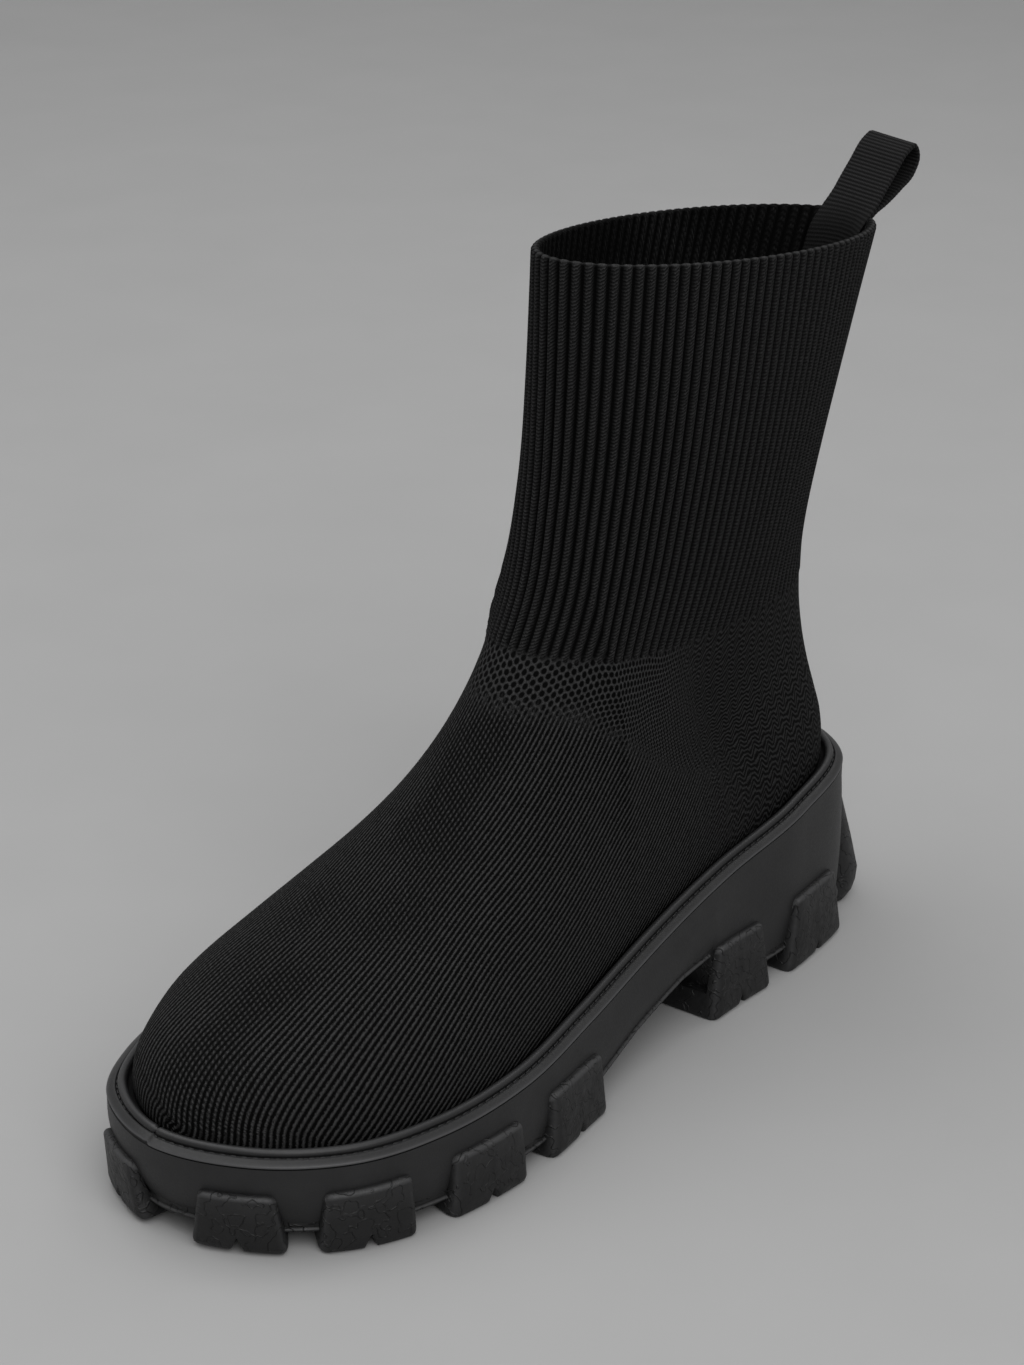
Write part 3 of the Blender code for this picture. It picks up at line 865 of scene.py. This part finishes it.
def make_upper(material):
    """Outer skin with its ribs, the rolled rim, and the inner skin back down to the sole, closed there."""
    ups = np.r_[
        np.linspace(0, RIB_BORDER[0], FOOT_ROWS, endpoint=False),
        np.linspace(*RIB_BORDER, BORDER_ROWS, endpoint=False),
        np.linspace(RIB_BORDER[1], SHAFT_TOP[0], SHAFT_ROWS),
        SHAFT_TOP[1:],
    ]
    around = 2 * HALF
    k = np.arange(around)
    share = np.minimum(k, around - k) / HALF
    ribs, cord = rib_profile()
    grid = np.array([even_ring(up) for up in ups])
    normals = grid_normals(grid)
    rib, band, zigzag = knit_zones(ups, share)
    outer = grid + normals * (rib * ribs)[..., None]

    rising = grid[-1] - grid[-2]
    rising /= np.linalg.norm(rising, axis=1)[:, None]
    dip = (1 - cord)[:, None] * RIM_DIP
    rim = []
    for turn in np.linspace(0, np.pi, RIM_ROWS + 2)[1:-1]:
        bulge = RIM + ribs[:, None] * max(np.cos(turn), 0.0)
        outward_by = np.cos(turn) * bulge - RIM
        rim.append(grid[-1] + normals[-1] * outward_by + rising * np.sin(turn) * (RIM - dip))

    inner_ups = np.linspace(0.0, 1.0, INNER_ROWS)
    inner_grid = np.array([even_ring(up) for up in inner_ups])
    inner_depth = KNIT + 0.25 * knit_zones(inner_ups, share)[0] * ribs
    inner = (inner_grid - grid_normals(inner_grid) * inner_depth[..., None])[::-1]

    points = np.concatenate([outer, rim, inner])
    rows = len(points)
    faces = quads(rows, around, True)
    obj = new_piece("knit_upper", points.reshape(-1, 3), faces, material, ["upper"])

    def whole(outer_values, rest):
        return np.concatenate([outer_values, np.broadcast_to(rest, (rows - len(outer), around))])

    across, along = wale_field(grid)
    side = np.where(k <= HALF, 1.0, -1.0)
    across = side * across / (WALE + WALE_AT_TOE * ease((grid[..., 0] - WALE_TOE_START) / WALE_TOE_RUN))
    cords = np.broadcast_to(cord, (rows, around))
    set_attribute(obj, "wale", np.stack([whole(across, 0.0), whole(along, 0.0), cords], axis=-1))

    girth = np.array([distances(row[:HALF + 1])[-1] for row in grid])
    steps = np.linalg.norm(np.diff(grid, axis=0), axis=2)
    climb = np.concatenate([np.zeros((1, around)), np.cumsum(steps, axis=0)])
    over = np.r_[np.linspace(0.5, 3.0, len(rim)), np.linspace(3.5, 160.0, len(inner))]
    inside = np.r_[np.zeros(3), np.ones(rows - len(outer) - 3)]
    turned = whole(girth[:, None] * share, girth[-1] * share)
    height = whole(climb, climb[-1] + over[:, None])
    outside = np.zeros(climb.shape)
    set_attribute(obj, "ring", np.stack([turned, height, whole(outside, inside[:, None])], axis=-1))
    set_attribute(obj, "zone", np.stack([whole(rib, 1.0), whole(band, 0.0), whole(zigzag, 0.0)], axis=-1))

    cell, cell_row = cell_field(ups, share, climb)
    # Painted highlight on the rolled rim, from its outer to its inner side
    edge = np.r_[RIM_HIGHLIGHT, np.zeros(rows - len(outer) - len(RIM_HIGHLIGHT))]
    rim_highlight = whole(outside, edge[:, None])
    set_attribute(obj, "cell", np.stack([whole(cell, 0.0), whole(cell_row, 0.0), rim_highlight], axis=-1))
    patch = soft_noise(points, PATCH_WAVE, 3)
    drift = soft_noise(points, DRIFT_WAVE, 5)
    set_attribute(obj, "blend", np.stack([patch, drift, np.zeros(patch.shape)], axis=-1))
    return obj


def make_welt(material):
    """Bead, groove and ledge carried round the upper's edge, with the joint of the welt's ends at the toe."""
    loop, normals = closed_plan(WELT_STEPS)
    height = edge_height(loop[:, 0])
    along = distances(loop)
    past = along - along[round(JOINT_SHARE * len(loop))]
    cut = np.exp(-((past / JOINT_HALF) ** 2))
    behind = np.where(past > 0, np.clip(1 - past / JOINT_RUN, 0, 1), 0.0)
    rings = []
    edges = []
    # Each ring also takes a painted highlight: on the bead's top, and on the ledge and its lip
    for turn in BEAD_TURNS:
        radius = BEAD_RADIUS - JOINT_DEEP * cut
        out = BEAD_OUT + radius * np.cos(turn)
        rings.append(np.c_[loop + normals * out[:, None], height + BEAD_UP + radius * np.sin(turn)])
        edges.append(BEAD_HIGHLIGHT * max(0.0, math.cos(turn - BEAD_HIGHLIGHT_TURN)) ** BEAD_HIGHLIGHT_POWER)
    for name, out, up in STRIP:
        outer = name.startswith(("ledge", "lip"))
        out = out - outer * (JOINT_DEEP * cut + JOINT_STEP * behind)
        rings.append(np.c_[loop + normals * np.reshape(out, (-1, 1)), height + up])
        edges.append(STRIP_HIGHLIGHT.get(name, 0.0))
    faces = quads(len(rings), len(loop), True)
    obj = new_piece("welt_strip", np.concatenate(rings), faces, material, ["welt"])
    set_painted_highlights(obj, np.repeat(edges, len(loop)))
    return obj


def make_midsole(material):
    """Side wall of the platform, with the rim that closes up under the welt's lip."""
    loop, normals = closed_plan(WALL_STEPS, BREAST)
    x = loop[:, 0]
    low = underside_height(x + BREAST_WALL) + PLATE + GAP
    high = edge_height(x) - STRIP_DROP - GAP
    rim = edge_height(x) - RIM_DROP
    rings = []
    for up in np.linspace(0, 1, 11):
        spread = loop + normals * wall_reach(x, up)[:, None]
        rings.append(np.c_[spread, low + (high - low) * up])
    for reach, top in ((REACH, rim), (RIM_IN, rim), (RIM_IN, high)):
        rings.append(np.c_[loop + normals * reach, top])
    around = len(loop)
    faces = quads(len(rings), around) + rungs(0, around) + rungs((len(rings) - 1) * around, around)
    obj = new_piece("platform", np.concatenate(rings), faces, material, ["midsole"])
    obj.data.set_sharp_from_angle(angle=math.radians(40))
    return obj


def edge_track():
    """Fine closed track of the platform's edge with its normals and distances from the heel."""
    loop, normals = closed_plan(TRACK_STEPS)
    loop = np.r_[loop, loop[:1]]
    normals = np.r_[normals, normals[:1]]
    return loop, normals, distances(loop + normals * REACH)


def on_track(track, along):
    loop, normals, lengths = track
    along = np.mod(along, lengths[-1])
    point = [np.interp(along, lengths, loop[:, axis]) for axis in (0, 1)]
    normal = [np.interp(along, lengths, normals[:, axis]) for axis in (0, 1)]
    return np.array(point), np.array(normal)


def quarter_round(share):
    """Rise of a quarter circle: 0 at its foot, 1 at its crown and past it."""
    return math.sqrt(1 - (1 - min(max(share, 0.0), 1.0)) ** 2)


def lug_shares(foot, scale):
    """Places along a lug from -1 to 1, close together at its rounded ends and at its notch."""
    ends = 1 - 2 * scale * np.array([0.0, 0.1, 0.35, 0.8, 1.5, 2.6]) / foot
    notch = 2 * NOTCH_HALF / foot
    half = np.unique(np.r_[0.5 * notch, notch, 1.3 * notch, 0.35, 0.55, ends])
    return np.r_[-half[::-1], 0.0, half]


def lug_sections(track, middle, foot, top, height, out_top, out_low, round_foot):
    """Sections of one lug along the platform's edge, shorter at its top, notched in its foot."""
    scale = out_low / LUG_OUT
    sections = []
    edges = []
    for share in lug_shares(foot, scale):
        def corner(out, z, from_wall=True):
            grow = np.clip(z / height, 0, 1)
            length = foot / 2 + (top - foot) / 2 * grow
            point, normal = on_track(track, middle + share * length)
            if from_wall:
                low = underside_height(point[0])
                wall_height = max(edge_height(point[0]) - STRIP_DROP - low, 1.0)
                out = out + wall_reach(point[0], np.clip((z - low) / wall_height, 0, 1))
            return [*(point + normal * out), z]

        point, _ = on_track(track, middle + share * foot / 2)
        from_end = (1 - abs(share)) * foot / 2
        full = quarter_round(from_end / (END_ROUND * scale))
        low_out = (out_low + LUG_SEAT) * full - LUG_SEAT
        top_out = (out_top + LUG_SEAT) * full - LUG_SEAT
        edge = min(TOP_ROUND * scale, top_out + LUG_SEAT)
        high = height - CORNER_ROUND * scale * (1 - quarter_round(from_end / (CORNER_ROUND * scale)))
        floor = np.interp(point[0], column(SPRING, 1), column(SPRING, 2))
        floor += FOOT_ROUND * (1 - quarter_round(from_end / FOOT_ROUND))
        floor += NOTCH_DEEP * max(0.0, 1 - abs(share) * foot / 2 / NOTCH_HALF)
        seat = underside_height(point[0]) + LUG_SUNK
        if middle and BREAST[0] < point[0] < BREAST[2] + BREAST_CLEAR:
            seat = underside_height(0.0) + LUG_SUNK
        section = [corner(-LUG_RUN_IN, floor, False)]
        for turn in np.linspace(0, math.pi / 2, 5):
            in_by = round_foot * (1 - math.sin(turn))
            up_by = FOOT_STRETCH * round_foot * (1 - math.cos(turn))
            section.append(corner(low_out - in_by, floor + up_by))
        face_middle = (floor + FOOT_STRETCH * round_foot + high - edge) / 2
        section.append(corner((low_out + top_out) / 2, face_middle))
        for turn in np.linspace(0, math.pi / 2, 5):
            in_by = edge * (1 - math.cos(turn))
            section.append(corner(top_out - in_by, high - edge * (1 - math.sin(turn))))
        section += [corner(-LUG_SEAT, z) for z in (high, (high + seat) / 2, seat)]
        section.append(corner(-LUG_RUN_IN, seat, False))
        sections.append(section)
        # Painted highlight on the lug's rounded ends and along its top edge
        end = 1.0 - abs(from_end / (END_ROUND * scale) - LUG_END_HIGHLIGHT_AT) / LUG_END_HIGHLIGHT_AT
        face = LUG_END_HIGHLIGHT * max(0.0, end)
        edges += [0.0] + [face] * 6 + [max(face, lit) for lit in LUG_TOP_HIGHLIGHT] + [0.0] * 4
    return sections, edges


def make_tread(material):
    """The lugs with rounded edges, joined in one piece with the plate they stand on."""
    track = edge_track()
    whole = track[2][-1]
    points = []
    faces = []
    edges = []
    for _, sides, middle, *sizes in LUGS:
        outer = [] if sides == "inner" else [middle]
        inner = [whole - middle] if sides in ("inner", "pair") else []
        for place in outer + inner:
            sections, lit = lug_sections(track, place, *sizes)
            edges += lit
            around = len(sections[0])
            first = len(points)
            last = first + (len(sections) - 1) * around
            faces += quads(len(sections), around, first=first)
            faces.append([first + k for k in range(around)])
            faces.append([last + k for k in range(around)])
            points += [corner for section in sections for corner in section]
    loop, normals = closed_plan(WALL_STEPS, BREAST)
    x = loop[:, 0]
    first = len(points)
    around = len(loop)
    high = underside_height(x + BREAST_WALL) + PLATE + GAP
    low = underside_height(x)
    # The top rounding of the plate's lip takes a painted highlight
    rings = [(lip, low + up, name == "top_round") for name, lip, up in PLATE_LIPS] + [(0.0, high, False)]
    for lip, z, lit in rings:
        spread = loop + normals * (wall_reach(x, 0.0) + PLATE_LIP * lip)[:, None]
        points += np.c_[spread, z].tolist()
        edges += [float(lit)] * around
    faces += quads(len(rings), around, first=first)
    faces += rungs(first, around) + rungs(first + (len(rings) - 1) * around, around)
    obj = new_piece("lug_tread", points, faces, material, ["outsole"])
    obj.data.set_sharp_from_angle(angle=math.radians(55))
    set_painted_highlights(obj, np.array(edges))
    return obj


def make_footbed(material):
    """Insole, cupped a little towards its edge."""
    loop, normals = closed_plan(FOOTBED_STEPS)
    height = edge_height(loop[:, 0])
    rings = []
    for _, inset, up in FOOTBED:
        spread = loop - normals * (KNIT + 2 * GAP + inset)
        rings.append(np.c_[spread, height + up])
    around = len(loop)
    faces = quads(len(rings), around) + rungs(0, around) + rungs((len(rings) - 1) * around, around)
    return new_piece("footbed", np.concatenate(rings), faces, material, ["insole"])


def loop_line(count):
    """Middle line of the webbing as an even row of points."""
    points = np.c_[column(LOOP, 1), column(LOOP, 2)]
    knots = distances(points)
    return even_line(smooth(knots, points, np.linspace(0, knots[-1], 900)), count)


def web_point(line, step, loose, face, side):
    """A point of the webbing: sewn against the shaft's round back, turned a little where it is loose."""
    y = side * WEB_HALF_WIDTH
    bend = SHAFT_LONG * (1 - math.sqrt(1 - ((WEB_MIDDLE + y) / SHAFT_WIDE) ** 2))
    x = line[0] + face * step[0] + loose * WEB_YAW * y + (1 - loose) * bend
    return [x, WEB_MIDDLE + y, line[1] + face * step[1] + WEB_TILT * y * loose]


def make_loop(material):
    """Folded webbing with its cross ribs."""
    whole = distances(loop_line(900))[-1]
    count = int(whole / WEB_PITCH * 5)
    line = loop_line(count)
    along = distances(line)
    heading = np.gradient(line, axis=0)
    heading /= np.linalg.norm(heading, axis=1)[:, None]
    across = np.c_[-heading[:, 1], heading[:, 0]]
    sides = np.r_[-column(WEB_SECTION, 0)[:0:-1], column(WEB_SECTION, 0)]
    edge = np.r_[column(WEB_SECTION, 1)[:0:-1], column(WEB_SECTION, 1)]
    points = []
    weave = []
    for k in range(count):
        crest = 0.5 + 0.5 * math.cos(2 * math.pi * along[k] / WEB_PITCH)
        thick = WEB_THICK / 2 - WEB_RIB * (1 - crest)
        loose = float(ease((line[k][1] - WEB_FREE[0]) / (WEB_FREE[1] - WEB_FREE[0])))
        for face, order in ((-1, 1), (1, -1)):
            for side, full in list(zip(sides, edge))[::order]:
                points.append(web_point(line[k], across[k] * thick * full, loose, face, side))
                weave.append([side * WEB_HALF_WIDTH, loose, crest])
    around = 2 * len(sides)
    faces = quads(count, around)
    last = (count - 1) * around
    faces.append(list(range(around)))
    faces.append([last + k for k in range(around)])
    obj = new_piece("webbing_loop", points, faces, material, ["pull_loop"])
    set_attribute(obj, "weave", weave)
    return obj


def capsule(start, end, radius, sides=6):
    """Points and faces of a short round-ended stitch between two places."""
    start = np.asarray(start, float)
    along = np.asarray(end, float) - start
    length = np.linalg.norm(along)
    along = along / length
    first = np.cross(along, [0.0, 0.0, 1.0])
    first /= np.linalg.norm(first)
    second = np.cross(along, first)
    turn = np.linspace(0, 2 * np.pi, sides, endpoint=False)
    round_ = np.cos(turn)[:, None] * first + np.sin(turn)[:, None] * second
    rings = []
    for at, wide in STITCH_SECTION:
        rings.append(start + along * length * at + round_ * radius * wide)
    faces = quads(len(rings), sides)
    faces.append(list(range(sides)))
    faces.append([(len(rings) - 1) * sides + k for k in range(sides)])
    return np.concatenate(rings), faces


def joined(shapes):
    points = []
    faces = []
    for made, these in shapes:
        first = sum(len(p) for p in points)
        points.append(made)
        faces += [[first + k for k in face] for face in these]
    return np.concatenate(points), faces


def make_welt_stitches(material):
    """Short stitches lying in the groove between bead and ledge."""
    loop, normals = closed_plan(STITCH_STEPS)
    spread = loop + normals * STITCH_OUT
    line = np.c_[spread, edge_height(loop[:, 0]) + STITCH_UP]
    line = np.r_[line, line[:1]]
    along = distances(line)
    count = int(along[-1] / STITCH_PITCH)
    shapes = []
    for place in np.linspace(0, along[-1], count, endpoint=False):
        ends = []
        for at in (place, place + STITCH_LENGTH):
            ends.append([np.interp(at, along, line[:, axis]) for axis in range(3)])
        shapes.append(capsule(ends[0], ends[1], STITCH_RADIUS))
    points, faces = joined(shapes)
    return new_piece("welt_stitches", points, faces, material)


def add_floor():
    corners = [(-1, -1, 0), (1, -1, 0), (1, 1, 0), (-1, 1, 0)]
    mesh = bpy.data.meshes.new("floor")
    mesh.from_pydata([(FLOOR_HALF * x, FLOOR_HALF * y, z) for x, y, z in corners], [], [(0, 1, 2, 3)])
    s = Surface("floor_paper")
    s.put(s.shader.inputs["Base Color"], s.colours(s.noise(60.0, 3.0, 0.5), *FLOOR_COLOURS))
    s.shader.inputs["Roughness"].default_value = 0.9
    s.shader.inputs["Specular IOR Level"].default_value = 0.1
    mesh.materials.append(s.material)
    floor = bpy.data.objects.new("floor", mesh)
    show(floor)


def add_light(name, place, target, size, power):
    lamp = bpy.data.lights.new(name, "AREA")
    lamp.shape = "DISK"
    lamp.size = size
    lamp.energy = power
    obj = bpy.data.objects.new(name, lamp)
    obj.location = place
    obj.rotation_euler = (Vector(target) - Vector(place)).to_track_quat("-Z", "Y").to_euler()
    show(obj)


def add_world(level):
    world = bpy.data.worlds.new("studio")
    world.use_nodes = True
    world.node_tree.nodes["Background"].inputs["Color"].default_value = (level, level, level, 1.0)
    bpy.context.scene.world = world


def add_camera():
    """Stands where the photo was taken from, and turns to the middle of the one boot."""
    azimuth = math.radians(CAMERA_AZIMUTH)
    elevation = math.radians(CAMERA_ELEVATION)
    level = math.cos(elevation)
    forward = -Vector((level * math.cos(azimuth), level * math.sin(azimuth), math.sin(elevation)))
    right = forward.cross(Vector((0, 0, 1))).normalized()
    upward = right.cross(forward)
    across = BOOT_MIDDLE[0] - PHOTO_MIDDLE[0]
    down = BOOT_MIDDLE[1] - PHOTO_MIDDLE[1]
    aim = forward * PHOTO_FOCAL + right * across - upward * down
    data = bpy.data.cameras.new("camera")
    data.sensor_width = SENSOR
    data.lens = LENS
    camera = bpy.data.objects.new("camera", data)
    camera.location = (np.array(CAMERA_AT) - ORIGIN) * MM
    roll = Quaternion((0, 0, 1), math.radians(CAMERA_ROLL))
    camera.rotation_euler = (aim.to_track_quat("-Z", "Y") @ roll).to_euler()
    show(camera)
    bpy.context.scene.camera = camera


def add_studio():
    bpy.context.scene.view_settings.view_transform = "Standard"
    add_floor()
    add_world(WORLD_LEVEL)
    for light in LIGHTS:
        add_light(*light)


add_camera()
add_studio()
thread = thread_material()
side_rubber = sole_material("side_rubber", SIDE_COLOUR, 0.52, 0.6, 0.05)
make_upper(knit_material())
make_welt(sole_material("welt_rubber", WELT_COLOUR, 0.40, 0.6, 0.04))
make_midsole(side_rubber)
make_tread(lug_material())
make_footbed(cloth_material())
make_loop(webbing_material())
make_welt_stitches(thread)
